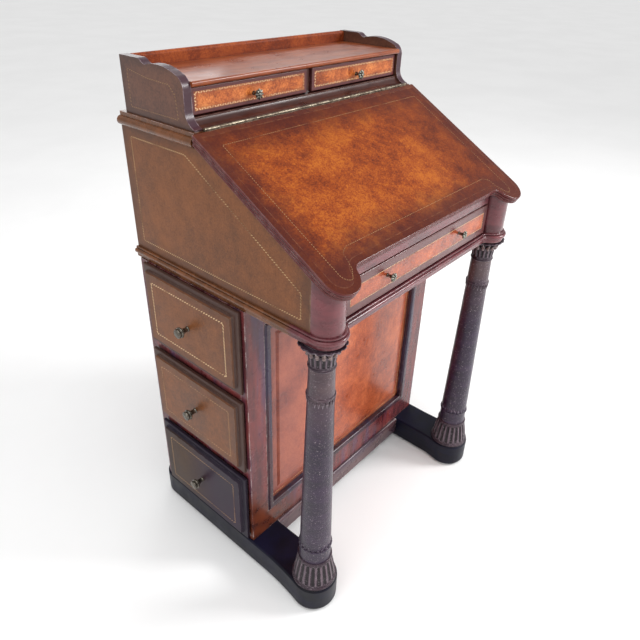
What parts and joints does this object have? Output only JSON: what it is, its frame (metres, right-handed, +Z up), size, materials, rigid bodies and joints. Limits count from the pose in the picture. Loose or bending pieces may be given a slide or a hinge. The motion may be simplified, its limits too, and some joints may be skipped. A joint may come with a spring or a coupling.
{
  "type": "davenport desk",
  "caption": "Leather-clad davenport desk: a sloping hinged lid over a writing well, a gallery with small drawers, turned front columns and a pedestal whose drawers open sideways.",
  "frame": {"origin": "on the floor under the middle of the desk's bounding box at rest", "axes": "+Z up, +X to the sitter's right, -Y towards the sitter; the working drawers open towards -X"},
  "size_m": [0.6924, 0.5252, 1.021],
  "materials": {
    "lid_leather": "polished mottled hide",
    "orange_leather": "polished mottled hide",
    "olive_leather": "glossy tooled hide",
    "plum_lacquer": "glossy lacquer",
    "dark_lacquer": "satin lacquer",
    "drawer_wood": "oiled",
    "hinge_brass": "aged",
    "bronze": "dark patina",
    "pewter": "aged"
  },
  "bodies": {
    "desk": {"pedestal_front_panel": "orange_leather", "gallery_back": "orange_leather", "box_side_left": "olive_leather", "box_side_right": "olive_leather", "gallery_side_left": "olive_leather", "gallery_side_right": "olive_leather", "dummy_drawer_fronts": "olive_leather", "box_bottom": "plum_lacquer", "box_top_board": "plum_lacquer", "box_top_moulding": "plum_lacquer", "box_back": "plum_lacquer", "front_rail": "plum_lacquer", "corner_drum_left": "plum_lacquer", "corner_drum_right": "plum_lacquer", "pedestal_front_frame": "plum_lacquer", "pedestal_panel_moulding": "plum_lacquer", "pedestal_left_frame": "plum_lacquer", "pedestal_right_side": "plum_lacquer", "pedestal_back": "plum_lacquer", "gallery_tray": "plum_lacquer", "gallery_floor": "plum_lacquer", "gallery_divider": "plum_lacquer", "runner_left": "dark_lacquer", "runner_right": "dark_lacquer", "base_rails": "dark_lacquer", "column_base_left": "dark_lacquer", "column_base_right": "dark_lacquer", "column_shaft_left": "dark_lacquer", "column_shaft_right": "dark_lacquer", "column_capital_left": "dark_lacquer", "column_capital_right": "dark_lacquer", "well_floor": "drawer_wood", "dust_boards": "drawer_wood", "hinge_leaf_desk": "hinge_brass", "hinge_pin": "hinge_brass", "stay_keeper": "hinge_brass", "dummy_drawer_knobs": "bronze"},
    "lid": {"lid_board": "plum_lacquer", "lid_leather": "lid_leather", "hinge_leaf_lid": "hinge_brass", "lid_stay": "hinge_brass"},
    "front_drawer": {"front_drawer_front": "orange_leather", "front_drawer_box": "drawer_wood", "front_drawer_knobs": "pewter"},
    "gallery_drawer_left": {"gallery_drawer_left_front": "orange_leather", "gallery_drawer_left_box": "drawer_wood", "gallery_drawer_left_knob": "pewter"},
    "gallery_drawer_right": {"gallery_drawer_right_front": "orange_leather", "gallery_drawer_right_box": "drawer_wood", "gallery_drawer_right_knob": "pewter"},
    "side_drawer_top": {"side_drawer_top_front": "olive_leather", "side_drawer_top_box": "drawer_wood", "side_drawer_top_knob": "bronze"},
    "side_drawer_middle": {"side_drawer_middle_front": "olive_leather", "side_drawer_middle_box": "drawer_wood", "side_drawer_middle_knob": "bronze"},
    "side_drawer_bottom": {"side_drawer_bottom_front": "olive_leather", "side_drawer_bottom_box": "drawer_wood", "side_drawer_bottom_knob": "bronze"}
  },
  "joints": [
    {"name": "lid_hinge", "type": "hinge", "parent": "desk", "child": "lid", "pos_m": [0, 0.04364, 0.9305], "axis": [-1, 0, 0], "range_deg": [0, 45]},
    {"name": "front_drawer_slide", "type": "slide", "parent": "desk", "child": "front_drawer", "axis": [0, -1, 0], "range_m": [0, 0.22]},
    {"name": "gallery_drawer_left_slide", "type": "slide", "parent": "desk", "child": "gallery_drawer_left", "axis": [0, -1, 0], "range_m": [0, 0.07]},
    {"name": "gallery_drawer_right_slide", "type": "slide", "parent": "desk", "child": "gallery_drawer_right", "axis": [0, -1, 0], "range_m": [0, 0.07]},
    {"name": "side_drawer_top_slide", "type": "slide", "parent": "desk", "child": "side_drawer_top", "axis": [-1, 0, 0], "range_m": [-0.0015, 0.36]},
    {"name": "side_drawer_middle_slide", "type": "slide", "parent": "desk", "child": "side_drawer_middle", "axis": [-1, 0, 0], "range_m": [-0.003, 0.36]},
    {"name": "side_drawer_bottom_slide", "type": "slide", "parent": "desk", "child": "side_drawer_bottom", "axis": [-1, 0, 0], "range_m": [-0.003, 0.36]}
  ]
}
